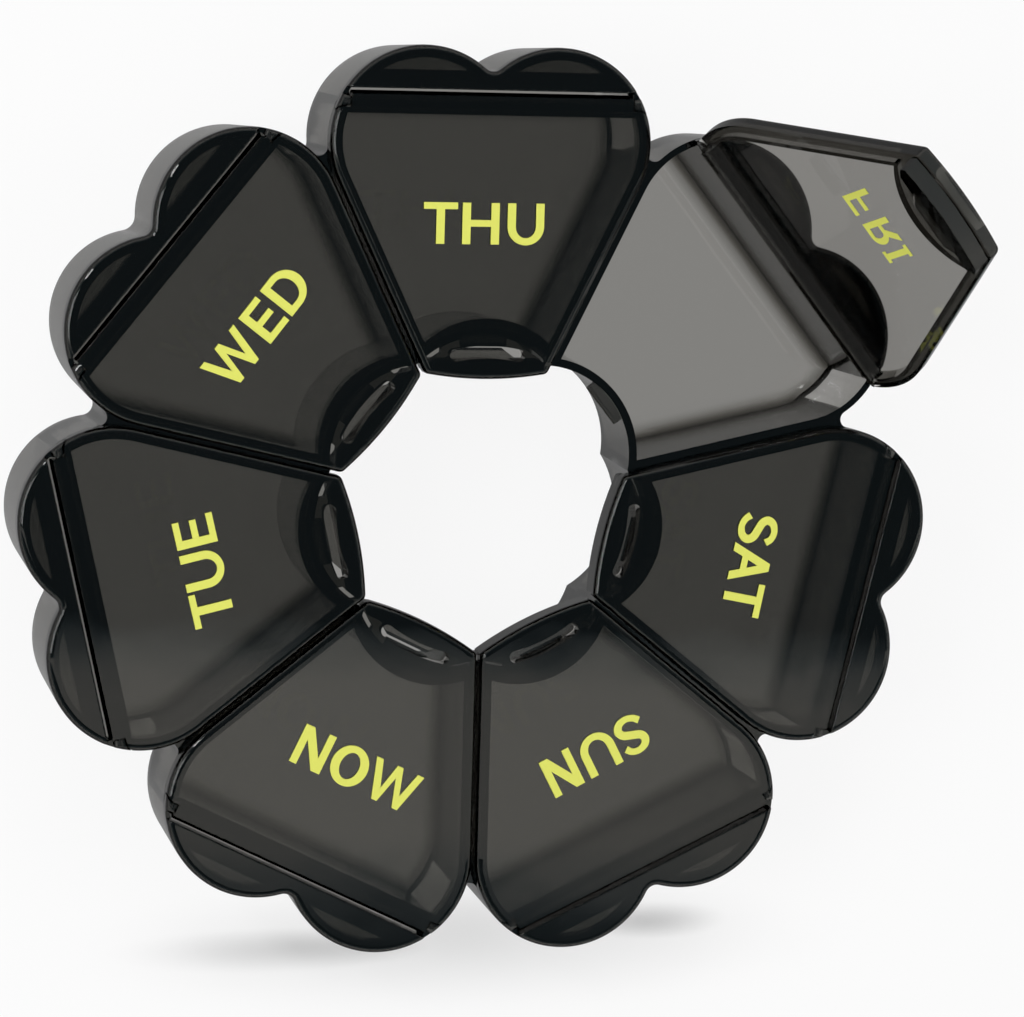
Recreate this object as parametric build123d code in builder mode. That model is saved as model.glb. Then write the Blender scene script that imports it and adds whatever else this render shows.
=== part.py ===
from build123d import *
from math import acos, atan2, cos, degrees, hypot, radians, sin, sqrt
import os

# Weekly pill organizer: a ring of seven petal-shaped compartments round an open centre, each with
# its own hinged snap lid. Millimetres, +Z up, origin on the table plane at the centre of the ring.
# Every piece is drawn for the petal that lies along +Y and then turned to its place.

# The ring, clockwise from +Y, and the one lid that is left open
days = ("thu", "fri", "sat", "sun", "mon", "tue", "wed")
open_day = "fri"
half_pitch = radians(180 / len(days))

# Heights
total_height = 26.6
rim_height = 3.3
floor_thickness = 1.5

# Petal outline: two round lobes side by side, with straight sides along the radial planes
# between neighbouring petals
lobe_radius = 16.0
lobe_centre_y = 61.5
petal_gap = 0.3
notch_radius = 2.0
vee_radius = 1.5

# Tray walls
wall = 1.1
outer_draft = 1.3
compartment_draft = 0.5
foot_round = 1.0
floor_round = 3.0
cross_wall = 1.3
cross_wall_offset = 1.0
cross_wall_clearance = 0.4

# Curved wall round the open centre, which leans outwards towards the floor
hole_arc_y = 13.3
hole_arc_radius = 15.6
hole_wall = 1.4
hole_wall_lean = 1.1

# Hinge: stub axles moulded on the lid's barrel run in the ears of the cap
hinge_inset = 5.43
hinge_drop = 1.4
barrel_radius = 1.9
ear_radius = 1.3
ear_neck = 0.57
axle_radius = 0.8
axle_length = 1.1
axle_clearance = 0.05
axle_end_clearance = 0.2
hinge_clearance = 0.3
hinge_groove = 0.38
stop_clearance = 0.1
cap_bar_width = 3.2

# Lid
lid_seat_gap = 0.1
plate_thickness = 1.2
rim_width = 2.1
top_round = 1.2
hinge_edge_round = 0.25
lip_depth = 1.0
lip_clearance = 0.25
bar_width = 1.9
window_arc_y = 16.2
window_arc_radius = 15.8
lid_end_y = 21.7
lid_end_radius = 60.0
lid_corner_radius = 1.2

# Finger tab, moulding slot and catch at the lid's inner end
tab_drop = 3.7
tab_inset = 0.4
tab_thickness = 2.8
tab_clearance = 0.6
slot_radius = 26.35
slot_width = 2.1
slot_half_length = 6.5
relief_start = 7.8
relief_end = 10.3
catch_root_width = 12.0
catch_tip_width = 7.4
catch_height = 1.1
catch_lead = 0.5
catch_clearance = 0.3
bead_depth = 5.0
bead_radius = 0.9
bead_reach = 2.0
bead_half_length = 3.9

# Places that follow from the sizes above
parting_z = total_height - rim_height
plate_z = total_height - plate_thickness
hinge_z = total_height - hinge_drop
lid_z = parting_z + lid_seat_gap
lobe_centre_x = (lobe_centre_y * sin(half_pitch) - petal_gap - lobe_radius) / cos(half_pitch)
lobe_centre = (lobe_centre_x, lobe_centre_y)
notch_centre = (0, lobe_centre_y + sqrt((lobe_radius + notch_radius) ** 2 - lobe_centre_x**2))
notch_angle = degrees(atan2(notch_centre[1] - lobe_centre_y, -lobe_centre_x))
hinge_y = notch_centre[1] - notch_radius - hinge_inset
cap_face_y = hinge_y + barrel_radius + hinge_groove
cap_half_width = lobe_centre_x + sqrt(lobe_radius**2 - (cap_face_y - lobe_centre_y) ** 2)
ear_face_x = cap_half_width - ear_neck
barrel_half_length = ear_face_x - hinge_clearance
swing_radius = ear_radius + hinge_clearance
cross_wall_y = hinge_y - cross_wall_offset
bar_face_y = hinge_y - bar_width
tab_face_y = lid_end_y + tab_inset + tab_thickness
bead_nose_y = hole_arc_y + hole_arc_radius - bead_reach
catch_tip_y = bead_nose_y - catch_clearance
relief_centre_x = (relief_start + relief_end) / 2
reach = 2 * lobe_centre_y

# A lid opens until its top face meets the rounded edge of the cap behind it
stop_y = cap_face_y + hinge_edge_round - hinge_y
stop_z = hinge_drop - hinge_edge_round
stop_offset = hinge_drop + hinge_edge_round + stop_clearance
open_angle = 90 - degrees(atan2(stop_z, stop_y) - acos(stop_offset / hypot(stop_y, stop_z)))


def beside_plane(along, across):
    """Point at a distance along the plane between two petals and at one across it, outwards."""
    x = along * sin(half_pitch) + across * cos(half_pitch)
    y = along * cos(half_pitch) - across * sin(half_pitch)
    return (x, y)


def petal(inset):
    """Petal face, taken in from the outline all round; its sides run on to a point."""
    radius = lobe_radius - inset
    side_angle = -degrees(half_pitch)
    with BuildSketch() as face:
        with BuildLine():
            lobe = CenterArc(lobe_centre, radius, side_angle, notch_angle - side_angle)
            Line((0, (petal_gap + inset) / sin(half_pitch)), lobe @ 0)
            CenterArc(notch_centre, notch_radius + inset, notch_angle - 180, 90 - notch_angle)
            mirror(about=Plane.YZ)
        make_face()
    return face.sketch


def tray_outline():
    """Petal face whose sides run past the planes, with the hollow round between two petals."""
    across = lobe_radius + petal_gap
    along = lobe_centre_y * cos(half_pitch) + lobe_centre_x * sin(half_pitch)
    along += sqrt((lobe_radius + vee_radius) ** 2 - across**2)
    vee_centre = beside_plane(along, 0)
    vee_angle = degrees(atan2(vee_centre[1] - lobe_centre_y, vee_centre[0] - lobe_centre_x))
    vee_turn = 270 - degrees(half_pitch) - 180 - vee_angle
    with BuildSketch() as face:
        with BuildLine():
            CenterArc(lobe_centre, lobe_radius, vee_angle, notch_angle - vee_angle)
            vee = CenterArc(vee_centre, vee_radius, vee_angle + 180, vee_turn)
            outside = Line(vee @ 1, beside_plane(along - vee_radius, lobe_radius))
            Line(outside @ 1, (0, 0))
            CenterArc(notch_centre, notch_radius, notch_angle - 180, 90 - notch_angle)
            mirror(about=Plane.YZ)
        make_face()
    return face.sketch


def keep_beyond(y):
    """Cut the sketch in work back to what lies further out than y."""
    with Locations((0, y)):
        Rectangle(reach, reach, align=(Align.CENTER, Align.MIN), mode=Mode.INTERSECT)


def keep_within(y):
    """Cut the sketch in work back to what lies further in than y."""
    with Locations((0, y)):
        Rectangle(reach, reach, align=(Align.CENTER, Align.MAX), mode=Mode.INTERSECT)


def lid_end(inset):
    """Cut the sketch in work to the lid's gently bowed inner end."""
    with Locations((0, lid_end_y + lid_end_radius)):
        Circle(lid_end_radius - inset, mode=Mode.INTERSECT)


def window():
    """Area of the lid's thin plate, between the hinge bar, the rims and the arched end."""
    with BuildSketch() as face:
        add(petal(rim_width))
        keep_within(bar_face_y)
        with Locations((0, window_arc_y)):
            Circle(window_arc_radius, mode=Mode.SUBTRACT)
        keep_beyond(lid_end_y)
    return face.sketch


# Space inside one tray petal: the compartment, and the closed hollow of the lobes beyond it
with BuildPart() as compartment:
    with BuildSketch(Plane.XY.offset(parting_z)):
        add(petal(wall))
        keep_within(cross_wall_y)
    extrude(amount=floor_thickness - parting_z, taper=compartment_draft)
    fillet(compartment.faces().sort_by(Axis.Z)[0].edges(), floor_round)
    with Locations((0, hole_arc_y, 0)):
        Cone(
            hole_arc_radius + hole_wall + hole_wall_lean,
            hole_arc_radius + hole_wall,
            parting_z,
            align=(Align.CENTER, Align.CENTER, Align.MIN),
            mode=Mode.SUBTRACT,
        )
    with Locations((0, lid_end_y, 0)):
        Box(reach, reach, reach, align=(Align.CENTER, Align.MIN, Align.MIN), mode=Mode.INTERSECT)

with BuildPart() as lobe_hollow:
    with BuildSketch(Plane.XY.offset(parting_z)):
        add(petal(wall))
        keep_beyond(cross_wall_y + cross_wall)
    extrude(amount=floor_thickness - parting_z, taper=compartment_draft)

# One petal of the tray
with BuildPart() as pod:
    with BuildSketch(Plane.XY.offset(parting_z)):
        add(tray_outline())
    extrude(amount=-parting_z, taper=outer_draft)
    fillet(pod.faces().sort_by(Axis.Z)[0].edges(), foot_round)
    with BuildSketch():
        right_x, right_y = beside_plane(reach, 0)
        Polygon((0, 0), (right_x, right_y), (-right_x, right_y), align=None)
    extrude(amount=total_height, mode=Mode.INTERSECT)
    with Locations((0, hole_arc_y, 0)):
        Cone(
            hole_arc_radius + hole_wall_lean,
            hole_arc_radius,
            parting_z,
            align=(Align.CENTER, Align.CENTER, Align.MIN),
            mode=Mode.SUBTRACT,
        )
    add(compartment.part, mode=Mode.SUBTRACT)
    add(lobe_hollow.part, mode=Mode.SUBTRACT)
    with BuildSketch(Plane.XY.offset(parting_z)):
        add(petal(wall))
        keep_beyond(cross_wall_y)
        keep_within(cross_wall_y + cross_wall)
    extrude(amount=-cross_wall_clearance, mode=Mode.SUBTRACT)
    with BuildSketch(Plane.YZ.offset(-bead_half_length)):
        with Locations((bead_nose_y + bead_radius, total_height - bead_depth)):
            Circle(bead_radius)
            bead_run = bead_reach - bead_radius + hole_wall / 2
            Rectangle(bead_run, 2 * bead_radius, align=(Align.MIN, Align.CENTER))
    extrude(amount=2 * bead_half_length)

# Cap over the lobes, with an ear at each end of the hinge
with BuildPart() as cap:
    with BuildSketch(Plane.XY.offset(parting_z)):
        add(petal(0))
        keep_beyond(hinge_y - ear_radius)
    extrude(amount=rim_height)
    rim_edges = cap.faces().sort_by(Axis.Z)[-1].edges()
    fillet(rim_edges - rim_edges.sort_by(Axis.Y)[:1], top_round)
    with BuildSketch(Plane.YZ.offset(-reach / 2)):
        with Locations((cap_face_y, hinge_z)):
            Rectangle(reach, 4 * barrel_radius, align=(Align.MAX, Align.CENTER))
        with Locations((hinge_y, hinge_z)):
            Circle(ear_radius, mode=Mode.SUBTRACT)
            Rectangle(reach, reach, align=(Align.MIN, Align.MAX), mode=Mode.SUBTRACT)
    extrude(amount=reach, mode=Mode.SUBTRACT)
    with Locations((0, cap_face_y, parting_z)):
        Box(
            2 * ear_face_x,
            reach,
            rim_height,
            align=(Align.CENTER, Align.MAX, Align.MIN),
            mode=Mode.SUBTRACT,
        )
    hinge_edge = cap.edges().filter_by(Axis.X).group_by(Axis.Z)[-1].sort_by(Axis.Y)[-1]
    fillet(hinge_edge, hinge_edge_round)
    with Locations(Plane.YZ):
        with Locations((hinge_y, hinge_z, 0)):
            Cylinder(
                axle_radius + axle_clearance,
                2 * (barrel_half_length + axle_length + axle_end_clearance),
                mode=Mode.SUBTRACT,
            )
    with BuildSketch(Plane.XY.offset(parting_z)):
        add(petal(rim_width))
        keep_beyond(cap_face_y + cap_bar_width)
    extrude(amount=rim_height - plate_thickness, mode=Mode.SUBTRACT)

# Lid, drawn closed
with BuildPart() as lid:
    with BuildSketch(Plane.XY.offset(lid_z)) as lid_outline:
        add(petal(0))
        keep_within(hinge_y)
        lid_end(0)
        fillet(lid_outline.vertices().group_by(Axis.Y)[0], lid_corner_radius)
    extrude(amount=total_height - lid_z)
    rim_edges = lid.faces().sort_by(Axis.Z)[-1].edges()
    fillet(rim_edges - rim_edges.sort_by(Axis.Y)[-1:], top_round)

    # Rounded hinge barrel, room for the ears, and the stub axles
    with BuildSketch(Plane.YZ.offset(-barrel_half_length)):
        with Locations((hinge_y, hinge_z)):
            Circle(barrel_radius)
        with Locations((hinge_y, total_height)):
            Rectangle(reach, reach, align=(Align.CENTER, Align.MAX), mode=Mode.INTERSECT)
    extrude(amount=2 * barrel_half_length)
    for side in (-1, 1):
        with BuildSketch(Plane.YZ.offset(side * barrel_half_length)):
            with Locations((hinge_y, hinge_z)):
                Circle(swing_radius)
        extrude(amount=side * reach, mode=Mode.SUBTRACT)
        with BuildSketch(Plane.YZ.offset(side * barrel_half_length)):
            with Locations((hinge_y, hinge_z)):
                Circle(axle_radius)
        extrude(amount=side * axle_length)

    # Thin window, and the lip round it that drops inside the tray's walls
    with BuildSketch(Plane.XY.offset(parting_z)):
        add(window())
    extrude(amount=rim_height - plate_thickness, mode=Mode.SUBTRACT)
    with BuildSketch(Plane.XY.offset(parting_z - lip_depth)):
        add(petal(wall + lip_clearance))
        keep_within(cross_wall_y - lip_clearance)
        with Locations((0, hole_arc_y)):
            Circle(hole_arc_radius + hole_wall + lip_clearance, mode=Mode.SUBTRACT)
        keep_beyond(lid_end_y)
        add(window(), mode=Mode.SUBTRACT)
    extrude(amount=lip_depth + lid_seat_gap)

    # Finger tab with its catch, the slot over the catch and the thinned spots beside it
    with BuildSketch(Plane.XY.offset(parting_z - tab_drop)):
        add(petal(tab_inset))
        lid_end(tab_inset)
        keep_within(tab_face_y)
        with Locations((0, hole_arc_y)):
            Circle(hole_arc_radius - tab_clearance, mode=Mode.INTERSECT)
    extrude(amount=tab_drop + lid_seat_gap)
    with BuildSketch(Plane.XY.offset(parting_z - tab_drop)):
        Polygon(
            (-catch_root_width / 2, tab_face_y),
            (catch_root_width / 2, tab_face_y),
            (catch_tip_width / 2, catch_tip_y),
            (-catch_tip_width / 2, catch_tip_y),
            align=None,
        )
    extrude(amount=catch_height)
    tip_edges = lid.edges().filter_by_position(Axis.Y, catch_tip_y, catch_tip_y).filter_by(Axis.X)
    chamfer(tip_edges.sort_by(Axis.Z)[0], catch_lead)
    with BuildSketch(Plane.XY.offset(lid_z)):
        slot_angle = degrees((slot_half_length - slot_width / 2) / slot_radius)
        SlotArc(CenterArc((0, 0), slot_radius, 90 - slot_angle, 2 * slot_angle), slot_width)
    extrude(amount=rim_height, mode=Mode.SUBTRACT)
    with BuildSketch(Plane.XY.offset(lid_z)):
        with Locations((0, hole_arc_y)):
            Circle(hole_arc_radius + tab_clearance)
            Circle(hole_arc_radius - tab_clearance, mode=Mode.SUBTRACT)
        with Locations((relief_centre_x, tab_face_y), (-relief_centre_x, tab_face_y)):
            Rectangle(relief_end - relief_start, hole_arc_radius, mode=Mode.INTERSECT)
    extrude(amount=plate_z - lid_z, mode=Mode.SUBTRACT)

# Each piece in its seven places, the open lid turned back on its axle
os.makedirs("parts", exist_ok=True)
opened = Pos(0, hinge_y, hinge_z) * Rot(-open_angle, 0, 0) * Pos(0, -hinge_y, -hinge_z)
for index, day in enumerate(days):
    turn = Rot(0, 0, -index * 360 / len(days))
    pieces = {"pod": pod.part, "cap": cap.part, "lid": lid.part}
    for name, piece in pieces.items():
        placed = turn * opened * piece if (name, day) == ("lid", open_day) else turn * piece
        placed.label = f"{name}_{day}"
        export_step(placed, f"parts/{placed.label}.step")
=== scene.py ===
from math import degrees, pi, radians

import bmesh
import bpy
import numpy as np
from mathutils import Matrix, Vector
from mathutils.geometry import tessellate_polygon


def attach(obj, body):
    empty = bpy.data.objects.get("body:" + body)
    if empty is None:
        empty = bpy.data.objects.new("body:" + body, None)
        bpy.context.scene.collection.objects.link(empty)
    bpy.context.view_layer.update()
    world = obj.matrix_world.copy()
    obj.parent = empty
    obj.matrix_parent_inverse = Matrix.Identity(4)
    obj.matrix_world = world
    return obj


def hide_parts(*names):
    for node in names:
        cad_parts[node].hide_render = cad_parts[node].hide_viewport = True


# Weekly pill organizer of smoked polystyrene: a tray with seven petals, a cap over each petal's
# lobes and seven hinged lids, lettered in lime. Metres, +Z up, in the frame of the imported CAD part.

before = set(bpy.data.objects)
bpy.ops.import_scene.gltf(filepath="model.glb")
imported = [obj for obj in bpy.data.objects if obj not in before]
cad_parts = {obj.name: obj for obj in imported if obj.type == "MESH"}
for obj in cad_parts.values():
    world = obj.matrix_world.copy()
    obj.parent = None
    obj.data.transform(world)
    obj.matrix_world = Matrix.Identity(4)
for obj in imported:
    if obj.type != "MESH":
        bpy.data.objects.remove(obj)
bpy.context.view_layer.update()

MM = 0.001
DAYS = ("thu", "fri", "sat", "sun", "mon", "tue", "wed")
PITCH = 2 * pi / len(DAYS)
OPEN_DAY = "fri"


# ---- Nodes and materials


def srgb(code):
    """Linear RGBA of an sRGB hex colour, by the sRGB curve."""
    parts = [int(code[i : i + 2], 16) / 255 for i in (1, 3, 5)]
    linear = [c / 12.92 if c <= 0.04045 else ((c + 0.055) / 1.055) ** 2.4 for c in parts]
    return (*linear, 1.0)


def add_node(tree, kind, inputs=None, **settings):
    """Adds a shader node; inputs holds a plain value or an output socket for each of its inputs."""
    node = tree.nodes.new(kind)
    for name, value in settings.items():
        setattr(node, name, value)
    for name, value in (inputs or {}).items():
        if isinstance(value, bpy.types.NodeSocket):
            tree.links.new(value, node.inputs[name])
        else:
            node.inputs[name].default_value = value
    return node


def new_material(name):
    """An empty node material and its node tree."""
    material = bpy.data.materials.new(name)
    material.use_nodes = True
    material.node_tree.nodes.clear()
    return material, material.node_tree


def smoked_polystyrene(name, per_metre):
    """Clear polystyrene, toughened (IOR 1.56), with a smoke dye that takes away blue most,
    injection moulded in a polished mould: glass gloss, faint waves where the melt flowed, and
    hairline scuffs from handling, which dull the mirror images a little in places."""
    material, tree = new_material(name)
    place = add_node(tree, "ShaderNodeTexCoord").outputs["Object"]
    # Flow waves about 12 mm long; scuffs about 0.4 mm wide, drawn 3 times as wide as real ones
    waves = add_node(tree, "ShaderNodeTexNoise", {"Vector": place, "Scale": 80.0, "Detail": 1.0})
    scuffs = add_node(tree, "ShaderNodeTexNoise", {"Vector": place, "Scale": 900.0, "Detail": 3.0})
    rough = add_node(
        tree,
        "ShaderNodeMapRange",
        {
            "Value": scuffs.outputs["Fac"],
            "From Min": 0.45,
            "From Max": 0.8,
            "To Min": 0.006,
            "To Max": 0.035,
        },
    )
    bump = add_node(
        tree,
        "ShaderNodeBump",
        {"Height": waves.outputs["Fac"], "Strength": 0.04, "Distance": 0.0005},
    )
    plastic = add_node(
        tree,
        "ShaderNodeBsdfPrincipled",
        {
            "Base Color": srgb("#FBFBFC"),
            "Roughness": rough.outputs["Result"],
            "IOR": 1.56,
            "Transmission Weight": 1.0,
            "Normal": bump.outputs["Normal"],
        },
    )
    smoke = add_node(
        tree, "ShaderNodeVolumeAbsorption", {"Color": srgb("#4B4115"), "Density": per_metre}
    )
    add_node(
        tree,
        "ShaderNodeOutputMaterial",
        {"Surface": plastic.outputs["BSDF"], "Volume": smoke.outputs["Volume"]},
    )
    return material


def lime_ink(name):
    """Opaque lime ink, pad printed: a satin film whose cover thins a little in cells of the pad."""
    material, tree = new_material(name)
    place = add_node(tree, "ShaderNodeTexCoord").outputs["Object"]
    cover = add_node(tree, "ShaderNodeTexNoise", {"Vector": place, "Scale": 1400.0, "Detail": 2.0})
    tint = add_node(
        tree, "ShaderNodeMixRGB", {0: cover.outputs["Fac"], 1: srgb("#E7EA6C"), 2: srgb("#E0E366")}
    )
    ink = add_node(
        tree,
        "ShaderNodeBsdfPrincipled",
        {"Base Color": tint.outputs["Color"], "Roughness": 0.5, "IOR": 1.5},
    )
    add_node(tree, "ShaderNodeOutputMaterial", {"Surface": ink.outputs["BSDF"]})
    return material


# Density of the smoke per metre. The photo shows the caps darkest, and the open lid paler than the
# closed ones. The open lid is the same plastic as the closed lids, but its smoke is thinner so that
# it renders paler. That is painted light: it stands in for the light that reaches the open lid from
# both sides while the closed lids lie over shaded card.
POD_SMOKE = 875.0
CAP_SMOKE = 2300.0
LID_SMOKE = 1440.0
OPEN_LID_PAINTED_LIGHTER_SMOKE = 1010.0
tray_plastic = smoked_polystyrene("smoked_polystyrene_moulded_tray", POD_SMOKE)
cap_plastic = smoked_polystyrene("smoked_polystyrene_moulded_cap", CAP_SMOKE)
lid_plastic = smoked_polystyrene("smoked_polystyrene_moulded_lid", LID_SMOKE)
open_lid_painted_lighter_plastic = smoked_polystyrene("smoked_polystyrene_open_lid_painted_lighter", OPEN_LID_PAINTED_LIGHTER_SMOKE)
ink = lime_ink("lime_pad_printed_ink")
for name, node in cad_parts.items():
    node.data.materials.clear()
    plastic = {"pod": tray_plastic, "cap": cap_plastic, "lid": lid_plastic}[name[:3]]
    # The open lid takes the copy of the lid plastic with thinner smoke, painted light that makes it
    # render paler than the closed lids
    node.data.materials.append(open_lid_painted_lighter_plastic if name == "lid_" + OPEN_DAY else plastic)


def add_piece(name, points, faces, material, body):
    """A mesh piece at the origin, with its place in its points, that rides on a body."""
    mesh = bpy.data.meshes.new(name)
    mesh.from_pydata(points.tolist(), [], faces.tolist())
    mesh.materials.append(material)
    mesh.update()
    piece = bpy.data.objects.new(name, mesh)
    bpy.context.scene.collection.objects.link(piece)
    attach(piece, body)
    return piece


# ---- Tray: the seven pods are one moulding, so their meshes are joined on the planes between them

# How near a plane a point has to be to lie on it, and how near each other points are welded, in
# metres; and the angle in degrees from which an edge is shaded sharp
ON_PLANE = 2e-6
WELD = 0.01 * MM
SHARP_ANGLE = 25


def joined_tray():
    """Every pod's triangles, less those on a plane between two petals, as one closed mesh."""
    points, faces, count = [], [], 0
    for index, day in enumerate(DAYS):
        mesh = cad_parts[f"pod_{day}"].data
        mesh.calc_loop_triangles()
        at = np.empty(len(mesh.vertices) * 3, np.float32)
        mesh.vertices.foreach_get("co", at)
        corners = np.empty(len(mesh.loop_triangles) * 3, np.int32)
        mesh.loop_triangles.foreach_get("vertices", corners)
        at, corners = at.reshape(-1, 3).astype(float), corners.reshape(-1, 3)
        inner = np.zeros(len(corners), bool)
        for side in (-1, 1):
            angle = pi / 2 - index * PITCH + side * PITCH / 2
            off_plane = np.abs(at[:, 0] * np.sin(angle) - at[:, 1] * np.cos(angle))
            inner |= (off_plane[corners] < ON_PLANE).all(1)
        points.append(at)
        faces.append(corners[~inner] + count)
        count += len(at)
    return np.concatenate(points), np.concatenate(faces)


tray_points, tray_faces = joined_tray()
tray = add_piece("tray", tray_points, tray_faces, tray_plastic, "tray")
shape = bmesh.new()
shape.from_mesh(tray.data)
bmesh.ops.remove_doubles(shape, verts=shape.verts, dist=WELD)
shape.to_mesh(tray.data)
shape.free()
tray.data.shade_smooth()
tray.data.set_sharp_from_angle(angle=radians(SHARP_ANGLE))
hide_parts(*[f"pod_{day}" for day in DAYS])


# ---- Lettering, in mm and degrees

CAP_HEIGHT = 6.95
STEM = 1.43
BAR = 1.13
# The word on the open lid is smaller and lighter, and its outer print a little off the inner one
OPEN_SCALE = 0.87
OPEN_WEIGHT = 0.95
OPEN_OFFSET = (0.2, 0.62)
# Heights of the ink films on the plate's outer and inner face: 0.12 mm thick, partly sunk in
OUTER_FILM = (26.5, 26.62)
INNER_FILM = (25.38, 25.5)
# A word turns and shrinks about a point this far from the left edge of its second letter
WORD_MIDDLE = 3.0


def arc(centre, radii, start, end, count=24):
    """Points of an ellipse's arc, from one angle in degrees to another."""
    angle = np.radians(np.linspace(start, end, count))
    return np.stack([centre[0] + radii[0] * np.cos(angle), centre[1] + radii[1] * np.sin(angle)], 1)


def ribbon(knots, widths, count=10):
    """Outline of a stroke: a Catmull-Rom curve through the knots, widened on both sides along its
    normal by half of a width that runs smoothly from knot to knot."""
    knots = np.column_stack([knots, widths])
    ends = np.vstack([2 * knots[0] - knots[1], knots, 2 * knots[-1] - knots[-2]])
    u = np.linspace(0, 1, count, endpoint=False)[:, None]
    a, b, c, d = ends[:-3, None], ends[1:-2, None], ends[2:-1, None], ends[3:, None]
    square = (2 * a - 5 * b + 4 * c - d) * u**2
    cube = (3 * b - a - 3 * c + d) * u**3
    line = 0.5 * (2 * b + (c - a) * u + square + cube)
    line = np.vstack([line.reshape(-1, 3), knots[-1]])
    run = np.gradient(line[:, :2], axis=0)
    normal = np.stack([-run[:, 1], run[:, 0]], 1) / np.linalg.norm(run, axis=1, keepdims=True)
    half = line[:, 2:] / 2
    return np.vstack([line[:, :2] + half * normal, (line[:, :2] - half * normal)[::-1]])


def glyph(letter, weight=1.0):
    """Closed outlines of a letter in mm from its lower left corner, the outer one first: straight
    bars and stems, half ellipses for bowls, a ribbon for S."""
    top, stem, bar = CAP_HEIGHT, weight * STEM, weight * BAR
    if letter == "T":
        middle, width = 2.92, 5.84
        left, right, under = middle - stem / 2, middle + stem / 2, top - bar
        foot = [(left, 0), (right, 0), (right, under), (width, under)]
        return [np.array([*foot, (width, top), (0, top), (0, under), (left, under)])]
    if letter == "H":
        width, low = 6.35, 2.95
        right, high = width - stem, low + bar
        lower = [(0, 0), (stem, 0), (stem, low), (right, low), (right, 0), (width, 0)]
        upper = [(width, top), (right, top), (right, high), (stem, high), (stem, top), (0, top)]
        return [np.array(lower + upper)]
    if letter == "I":
        width, serif = 2.7, 0.85
        right, neck = (width + stem) / 2, top - serif
        half = [(0, 0), (width, 0), (width, serif), (right, serif), (right, neck), (width, neck)]
        return [np.array(half + [(width - x, top - y) for x, y in half])]
    if letter in "EF":
        is_e = letter == "E"
        width, arm, low, tongue = (5.05, 4.65, 2.92, 4.5) if is_e else (4.8, 4.8, 2.75, 4.45)
        high, under = low + bar, top - bar
        foot = [(0, 0), (width, 0), (width, bar), (stem, bar)] if is_e else [(0, 0), (stem, 0)]
        middle = [(stem, low), (tongue, low), (tongue, high), (stem, high)]
        return [np.array([*foot, *middle, (stem, under), (arm, under), (arm, top), (0, top)])]
    if letter == "U":
        radius, level, overshoot = 3.16, 3.05, 0.08
        outer = arc((radius, level), (radius, level + overshoot), 180, 360)
        inner = arc((radius, level), (radius - stem, level - bar), 360, 180)
        right = [(2 * radius, top), (2 * radius - stem, top)]
        return [np.vstack([outer, right, inner, [(stem, top), (0, top)]])]
    if letter == "O":
        half_width, hole, bowl, overshoot = 3.3, 1.7, 1.12, 0.1
        centre, last_angle, count = (half_width, top / 2), 352, 45
        outer = arc(centre, (half_width, top / 2 + overshoot), 0, last_angle, count)
        return [outer, arc(centre, (hole, top / 2 - bowl), 0, last_angle, count)]
    if letter == "D":
        start, reach, bowl, middle = 2.7, 3.5, 1.55, top / 2
        outer = arc((start, middle), (reach, middle), -90, 90)
        inner = arc((start, middle), (reach - bowl, middle - bar), -90, 90)
        return [
            np.vstack([[(0, 0)], outer, [(0, top)]]),
            np.vstack([[(stem, bar)], inner, [(stem, top - bar)]]),
        ]
    if letter == "R":
        start, reach, bowl, low, thinner = 3.1, 2.3, 1.5, 2.45, 0.1
        middle, half = (top + low) / 2, (top - low) / 2
        outer = arc((start, middle), (reach, half), -62, 90)
        inner = arc((start, middle), (reach - bowl, half - bar + thinner), -90, 90)
        leg = [(0, 0), (stem, 0), (stem, low), (2.55, low), (4.2, 0), (5.85, 0)]
        return [
            np.vstack([leg, outer, [(0, top)]]),
            np.vstack([[(stem, low + bar - thinner)], inner, [(stem, top - bar)]]),
        ]
    if letter == "N":
        width, foot, cut, low, high = 5.75, 1.34, 1.62, 2.4, 4.55
        right = width - foot
        lower = [(0, 0), (foot, 0), (foot, high), (width - cut, 0), (width, 0)]
        return [np.array([*lower, (width, top), (right, top), (right, low), (cut, top), (0, top)])]
    if letter in "MW":
        width = 9.13
        x = [0, 1.27, 2.57, 4.04, 5.12, 6.2, 7.86, width, 6.83, 5.82, 4.5, 2.92, 1.9]
        y = [0, 0, 4.62, 0, 0, 4.63, 0, 0, top, top, 2.05, top, top]
        points = np.stack([x, y], 1)
        return [points if letter == "M" else np.array([width, top]) - points]
    if letter == "A":
        width, peak, foot, low = 6.6, 1.36, 1.5, 1.8
        left, right = (width - peak) / 2, (width + peak) / 2
        lean = left / top
        # Inner edges of the legs, below and above the crossbar, and where they meet
        under, over = foot + low * lean, foot + (low + bar) * lean
        shoulder = (width / 2 - foot) / lean
        legs = [(0, 0), (foot, 0), (under, low), (width - foot - low * lean, low)]
        return [
            np.array([*legs, (width - foot, 0), (width, 0), (right, top), (left, top)]),
            np.array(
                [
                    (over, low + bar),
                    (width / 2, shoulder),
                    (width - foot - (low + bar) * lean, low + bar),
                ]
            ),
        ]
    # S, a ribbon along the middle of its stroke
    x = [4.62, 3.85, 2.62, 1.3, 0.78, 1.3, 2.62, 4.0, 4.55, 3.92, 2.55, 1.25, 0.42]
    y = [5.28, 6.13, 6.45, 6.0, 5.0, 4.08, 3.52, 2.92, 1.9, 0.87, 0.5, 0.9, 1.72]
    widths = [1.24, 1.15, 1.12, 1.3, 1.43, 1.43, 1.42, 1.43, 1.43, 1.3, 1.12, 1.15, 1.24]
    return [ribbon(np.stack([x, y], 1), widths)]


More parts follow.
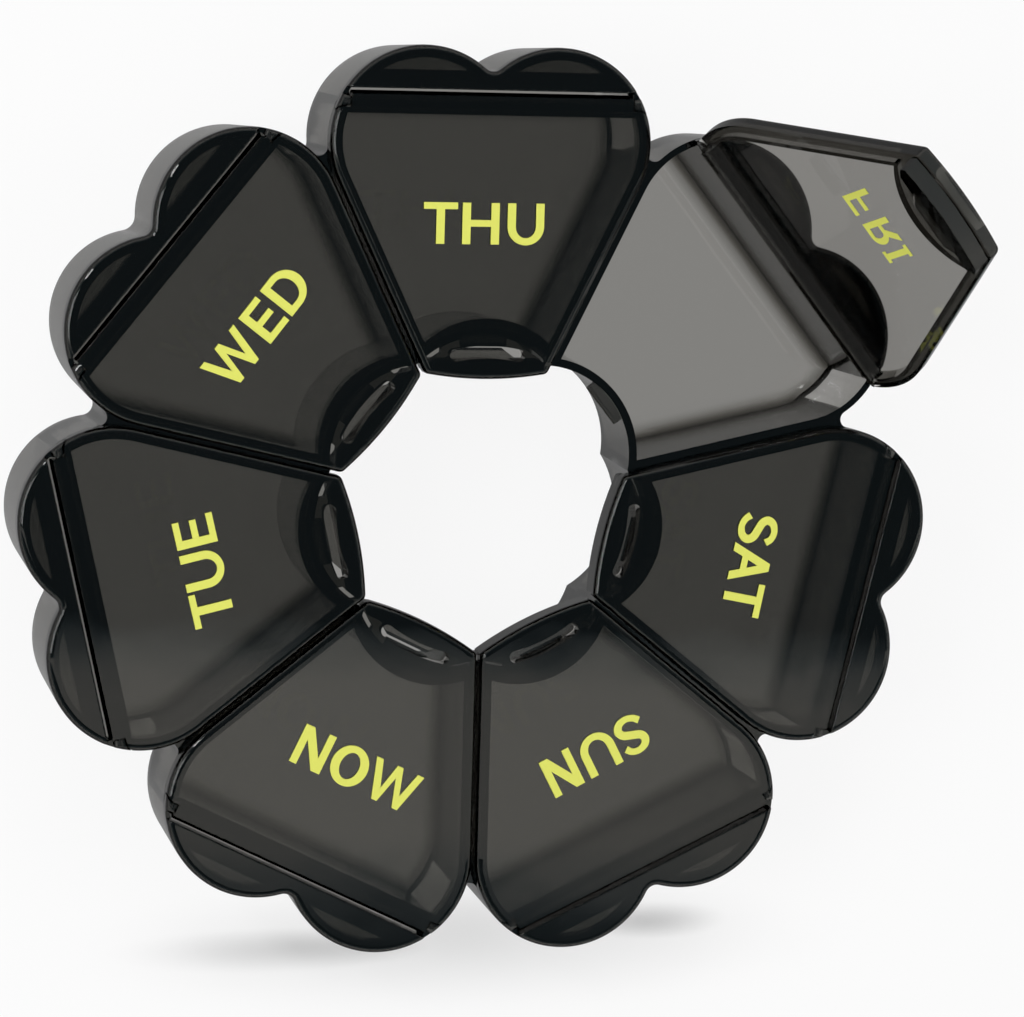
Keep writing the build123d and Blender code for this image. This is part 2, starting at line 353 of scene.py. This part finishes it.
# Each word: its letters with the left edge of each, mm across the lid from the petal's middle
# plane; the height of the feet, mm from the ring's centre; and the tilt of the print in degrees
WORDS = {
    "thu": ((("T", -11.58), ("H", -4.92), ("U", 2.83)), 44.46, 0.0),
    "fri": ((("F", -7.7), ("R", -1.75), ("I", 4.1)), 40.8, 0.0),
    "sat": ((("S", -9.5), ("A", -4.05), ("T", 2.35)), 44.8, 2.0),
    "sun": ((("S", -9.9), ("U", -4.0), ("N", 3.6)), 43.95, 2.0),
    "mon": ((("M", -11.9), ("O", -2.5), ("N", 4.96)), 45.63, 0.4),
    "tue": ((("T", -8.96), ("U", -2.58), ("E", 4.71)), 45.2, 1.0),
    "wed": ((("W", -12.0), ("E", -1.6), ("D", 4.2)), 46.1, 1.2),
}


def slab(loops, low, high):
    """A flat plate whose two faces fill the outlines and whose sides join them."""
    count = np.cumsum([0] + [len(loop) for loop in loops])
    flat = np.vstack(loops)
    total = len(flat)
    fill = np.array(tessellate_polygon([[Vector((*p, 0)) for p in loop] for loop in loops]))
    area = np.cross(flat[fill[:, 1]] - flat[fill[:, 0]], flat[fill[:, 2]] - flat[fill[:, 0]])
    fill = np.where((area < 0)[:, None], fill[:, ::-1], fill)
    walls = []
    for first, last, loop in zip(count[:-1], count[1:], loops):
        here = np.arange(first, last)
        after = np.roll(here, -1)
        x, y = loop.T
        signed = np.sum(x * np.roll(y, -1) - np.roll(x, -1) * y)
        outwards = signed > 0 if first == 0 else signed < 0
        here, after = (here, after) if outwards else (after, here)
        walls.append(np.stack([here, after, after + total], 1))
        walls.append(np.stack([here, after + total, here + total], 1))
    points = np.vstack([np.column_stack([flat, np.full(total, z)]) for z in (low, high)])
    return points, np.vstack([fill[:, ::-1], fill + total, *walls])


def words_on(day):
    """The day's three letters as thin films on both faces of the lid's thin plate."""
    letters, feet, tilt = WORDS[day]
    scale, weight, offset = 1.0, 1.0, (0.0, 0.0)
    if day == OPEN_DAY:
        scale, weight, offset = OPEN_SCALE, OPEN_WEIGHT, OPEN_OFFSET
    middle = letters[1][1] + WORD_MIDDLE
    cosine, sine = np.cos(radians(tilt)), np.sin(radians(tilt))
    turn = np.array([[cosine, sine], [-sine, cosine]])
    points, faces, count = [], [], 0
    for (low, high), shift in ((OUTER_FILM, offset), (INNER_FILM, (0.0, 0.0))):
        for letter, left in letters:
            loops = [
                (scale * loop + (left - middle, 0)) @ turn + (middle, feet) + shift
                for loop in glyph(letter, weight)
            ]
            at, corners = slab(loops, low, high)
            points.append(at)
            faces.append(corners + count)
            count += len(at)
    return np.vstack(points) * MM, np.vstack(faces)


# The slot in the lid's thick inner end and the play round its floor, and where the open lid has
# turned to about its hinge, in mm and degrees
SLOT_RADIUS, SLOT_WIDTH, SLOT_HALF_LENGTH, SLOT_PLAY = 26.35, 2.1, 6.5, 0.02
SLOT_FLOOR_Z, SLOT_FLOOR_THICKNESS = 23.42, 0.8
HINGE_Y, HINGE_Z, OPEN_ANGLE = 67.896, 25.2, 116.5


def slot_floor():
    """The smoked floor low in a lid's slot: its outline is two arcs round the ring's centre, closed
    by half circles."""
    half_width = SLOT_WIDTH / 2 - SLOT_PLAY
    half_angle = degrees((SLOT_HALF_LENGTH - SLOT_WIDTH / 2) / SLOT_RADIUS)
    start, end = 90 - half_angle, 90 + half_angle
    loop = []
    for angle, side in ((end, 1), (start, -1)):
        along = SLOT_RADIUS + side * half_width
        loop.append(arc((0, 0), (along, along), 180 - angle, angle)[:-1])
        middle = (SLOT_RADIUS * np.cos(radians(angle)), SLOT_RADIUS * np.sin(radians(angle)))
        turned = angle + (0 if side == 1 else 180)
        loop.append(arc(middle, (half_width, half_width), turned, turned + 180)[:-1])
    points, faces = slab([np.vstack(loop)], SLOT_FLOOR_Z, SLOT_FLOOR_Z + SLOT_FLOOR_THICKNESS)
    return points * MM, faces


def seated(day, at):
    """Points of the lid that points up the page, turned to the day's own place."""
    if day == OPEN_DAY:
        pivot = Matrix.Translation((0, HINGE_Y * MM, HINGE_Z * MM))
        opened = np.array(pivot @ Matrix.Rotation(-radians(OPEN_ANGLE), 4, "X") @ pivot.inverted())
        at = at @ opened[:3, :3].T + opened[:3, 3]
    return at @ np.array(Matrix.Rotation(-DAYS.index(day) * PITCH, 3, "Z")).T


for day in DAYS:
    at, corners = words_on(day)
    add_piece(f"letters_{day}", seated(day, at), corners, ink, f"lid_{day}")
    at, corners = slot_floor()
    # The open lid's slot floor takes the same thinner-smoke copy, painted lighter for the light that
    # falls on the open lid
    plastic = open_lid_painted_lighter_plastic if day == OPEN_DAY else lid_plastic
    add_piece(f"slot_floor_{day}", seated(day, at), corners, plastic, f"lid_{day}")


# ---- Table, world, lamps and camera

TABLE_HALF = 3.0
TABLE_Z = -0.0002
# Share of the table's look that is its own even white, to the camera and to rays off or through
# plastic
WHITE_TO_CAMERA = 0.91
WHITE_TO_PLASTIC = 0.85
# Long spots on the near side, below Monday, below Sunday and round both, where the camera sees more
# of the real shadow: middle and reach in metres, and the share of even white in the middle
SHADOW_SPOTS = (
    ((-0.024, -0.0818), (0.042, 0.006), 0.0),
    ((0.038, -0.0785), (0.020, 0.005), 0.2),
    ((0.002, -0.0820), (0.080, 0.014), 0.5),
)


def white_card(name):
    """White card with a faint grain under studio light. The camera, and rays through the plastic,
    find it mostly in an even white of its own, and mirror images find that dimmed. In the shadow's
    spots the camera sees the real, shaded card, and other light meets real card everywhere."""
    material, tree = new_material(name)
    path = add_node(tree, "ShaderNodeLightPath").outputs
    glossy, through = path["Is Glossy Ray"], path["Is Transmission Ray"]
    place = add_node(tree, "ShaderNodeTexCoord").outputs["Object"]
    grain = add_node(tree, "ShaderNodeTexNoise", {"Vector": place, "Scale": 300.0})
    tint = add_node(
        tree, "ShaderNodeMixRGB", {0: grain.outputs["Fac"], 1: srgb("#F4F4F4"), 2: srgb("#F6F6F6")}
    )
    even = 1.0
    for middle, reach, least in SHADOW_SPOTS:
        away = add_node(
            tree, "ShaderNodeVectorMath", {0: place, 1: (*middle, TABLE_Z)}, operation="SUBTRACT"
        )
        away = add_node(
            tree,
            "ShaderNodeVectorMath",
            {0: away.outputs["Vector"], 1: (1 / reach[0], 1 / reach[1], 0.0)},
            operation="MULTIPLY",
        )
        away = add_node(
            tree, "ShaderNodeVectorMath", {0: away.outputs["Vector"]}, operation="LENGTH"
        )
        here = add_node(
            tree,
            "ShaderNodeMapRange",
            {
                "Value": away.outputs["Value"],
                "From Min": 0.0,
                "From Max": 1.0,
                "To Min": least,
                "To Max": WHITE_TO_CAMERA,
            },
            interpolation_type="SMOOTHSTEP",
        )
        least_yet = add_node(
            tree, "ShaderNodeMath", {0: here.outputs["Result"], 1: even}, operation="MINIMUM"
        )
        even = least_yet.outputs["Value"]
    to_camera = add_node(
        tree, "ShaderNodeMath", {0: path["Is Camera Ray"], 1: even}, operation="MULTIPLY"
    )
    plastic = add_node(tree, "ShaderNodeMath", {0: glossy, 1: through}, operation="MAXIMUM")
    to_plastic = add_node(
        tree,
        "ShaderNodeMath",
        {0: plastic.outputs["Value"], 1: WHITE_TO_PLASTIC},
        operation="MULTIPLY",
    )
    share = add_node(
        tree,
        "ShaderNodeMath",
        {0: to_camera.outputs["Value"], 1: to_plastic.outputs["Value"]},
        operation="MAXIMUM",
    )
    # A ray through rough plastic counts as glossy too, so only a mirror image's ray is left at 1
    mirrored = add_node(
        tree, "ShaderNodeMath", {0: glossy, 1: through}, operation="SUBTRACT", use_clamp=True
    )
    strength = add_node(
        tree,
        "ShaderNodeMapRange",
        {"Value": mirrored.outputs["Value"], "To Min": 0.98, "To Max": 0.24},
    )
    matt = add_node(tree, "ShaderNodeBsdfDiffuse", {"Color": tint.outputs["Color"]})
    glow = add_node(
        tree,
        "ShaderNodeEmission",
        {"Color": srgb("#FFFFFF"), "Strength": strength.outputs["Result"]},
    )
    mix = add_node(
        tree,
        "ShaderNodeMixShader",
        {0: share.outputs["Value"], 1: matt.outputs["BSDF"], 2: glow.outputs["Emission"]},
    )
    add_node(tree, "ShaderNodeOutputMaterial", {"Surface": mix.outputs["Shader"]})
    return material


table_mesh = bpy.data.meshes.new("table")
table_mesh.from_pydata(
    [(x * TABLE_HALF, y * TABLE_HALF, TABLE_Z) for x, y in ((-1, -1), (1, -1), (1, 1), (-1, 1))],
    [],
    [(0, 1, 2, 3)],
)
table_mesh.materials.append(white_card("white_card_table"))
table = bpy.data.objects.new("table", table_mesh)
bpy.context.scene.collection.objects.link(table)


def studio_world():
    """White to the camera and through the plastic, and dim as a light. Mirror images find a dark
    ceiling, faintly cyan, that pales towards the walls, and a pale band a little to the near side
    of straight up, which fades further that way."""
    world = bpy.data.worlds.new("studio")
    world.use_nodes = True
    tree = world.node_tree
    tree.nodes.clear()
    path = add_node(tree, "ShaderNodeLightPath").outputs
    generated = add_node(tree, "ShaderNodeTexCoord").outputs["Generated"]
    towards = add_node(tree, "ShaderNodeSeparateXYZ", {"Vector": generated}).outputs
    # Axis, where the change starts and ends along it, and the values there
    ranges = (
        ("Z", 0.15, 0.85, 0.9, 0.15),
        ("Y", -0.17, -0.145, 0.85, 0.0),
        ("Y", -0.235, -0.2, 0.15, 1.0),
    )
    ceiling, front, fading = (
        add_node(
            tree,
            "ShaderNodeMapRange",
            {
                "Value": towards[axis],
                "From Min": start,
                "From Max": end,
                "To Min": first,
                "To Max": last,
            },
            interpolation_type="SMOOTHSTEP",
        ).outputs["Result"]
        for axis, start, end, first, last in ranges
    )
    band = add_node(tree, "ShaderNodeMath", {0: front, 1: fading}, operation="MULTIPLY")
    paler = add_node(
        tree, "ShaderNodeMath", {0: ceiling, 1: band.outputs["Value"]}, operation="MAXIMUM"
    ).outputs["Value"]
    tone = add_node(tree, "ShaderNodeMixRGB", {0: paler, 1: srgb("#BADFEC"), 2: srgb("#FFFAF0")})
    white = srgb("#FFFFFF")
    dim = add_node(tree, "ShaderNodeBackground", {"Color": white, "Strength": 0.4})
    mirror = add_node(
        tree, "ShaderNodeBackground", {"Color": tone.outputs["Color"], "Strength": paler}
    )
    bright = add_node(tree, "ShaderNodeBackground", {"Color": white, "Strength": 0.97})
    unseen = add_node(
        tree,
        "ShaderNodeMixShader",
        {0: path["Is Glossy Ray"], 1: dim.outputs["Background"], 2: mirror.outputs["Background"]},
    )
    seen = add_node(
        tree,
        "ShaderNodeMath",
        {0: path["Is Camera Ray"], 1: path["Is Transmission Ray"]},
        operation="MAXIMUM",
    )
    mix = add_node(
        tree,
        "ShaderNodeMixShader",
        {0: seen.outputs["Value"], 1: unseen.outputs["Shader"], 2: bright.outputs["Background"]},
    )
    add_node(tree, "ShaderNodeOutputWorld", {"Surface": mix.outputs["Shader"]})
    return world


bpy.context.scene.world = studio_world()


def softbox(name, place, size, watts, mirrored=True):
    """An area lamp, place and size in metres, turned towards the middle of the object. Those that
    aren't mirrored give their light without a mirror image of the lamp in the plastic."""
    lamp = bpy.data.lights.new(name, "AREA")
    lamp.shape = "RECTANGLE"
    lamp.size, lamp.size_y = size
    lamp.energy = watts
    holder = bpy.data.objects.new(name, lamp)
    bpy.context.scene.collection.objects.link(holder)
    holder.location = place
    holder.rotation_euler = (-Vector(place)).to_track_quat("-Z", "Y").to_euler()
    holder.visible_camera = False
    holder.visible_transmission = False
    holder.visible_glossy = mirrored


softbox("softbox_left", (-0.85, 0.1, 0.8), (0.5, 0.6), 2.4)
softbox("softbox_fill", (-0.85, 0.0, 0.8), (0.5, 0.6), 3.3, mirrored=False)
softbox("softbox_edge", (-0.62, 0.5, 0.75), (0.12, 0.4), 1.3)
softbox("softbox_right", (0.85, 0.15, 0.8), (0.5, 0.6), 1.8, mirrored=False)
softbox("softbox_far", (-0.1, 0.85, 0.85), (0.7, 0.4), 3.4, mirrored=False)

# Camera, from a fit of the object's own outline to the photograph: lens and sensor in mm, shift in
# shares of the frame's width, place in metres and turn in degrees
FOCAL_LENGTH, SENSOR_WIDTH = 144.33, 36.0
CAMERA_SHIFT = (-0.00835, -0.03086)
CAMERA_PLACE = (-0.15506, 0.08592, 0.69657)
CAMERA_TURN = (-7.0530, -13.3500, 1.6154)
camera_data = bpy.data.cameras.new("camera")
camera_data.sensor_fit = "HORIZONTAL"
camera_data.sensor_width = SENSOR_WIDTH
camera_data.lens = FOCAL_LENGTH
camera_data.shift_x, camera_data.shift_y = CAMERA_SHIFT
camera = bpy.data.objects.new("camera", camera_data)
bpy.context.scene.collection.objects.link(camera)
camera.location = CAMERA_PLACE
camera.rotation_euler = [radians(angle) for angle in CAMERA_TURN]
bpy.context.scene.camera = camera

# A ray through the ring crosses up to a dozen thin walls, with two faces each
THROUGH_FACES = 24
bpy.context.scene.view_settings.view_transform = "Standard"
bpy.context.scene.cycles.max_bounces = THROUGH_FACES
bpy.context.scene.cycles.transmission_bounces = THROUGH_FACES
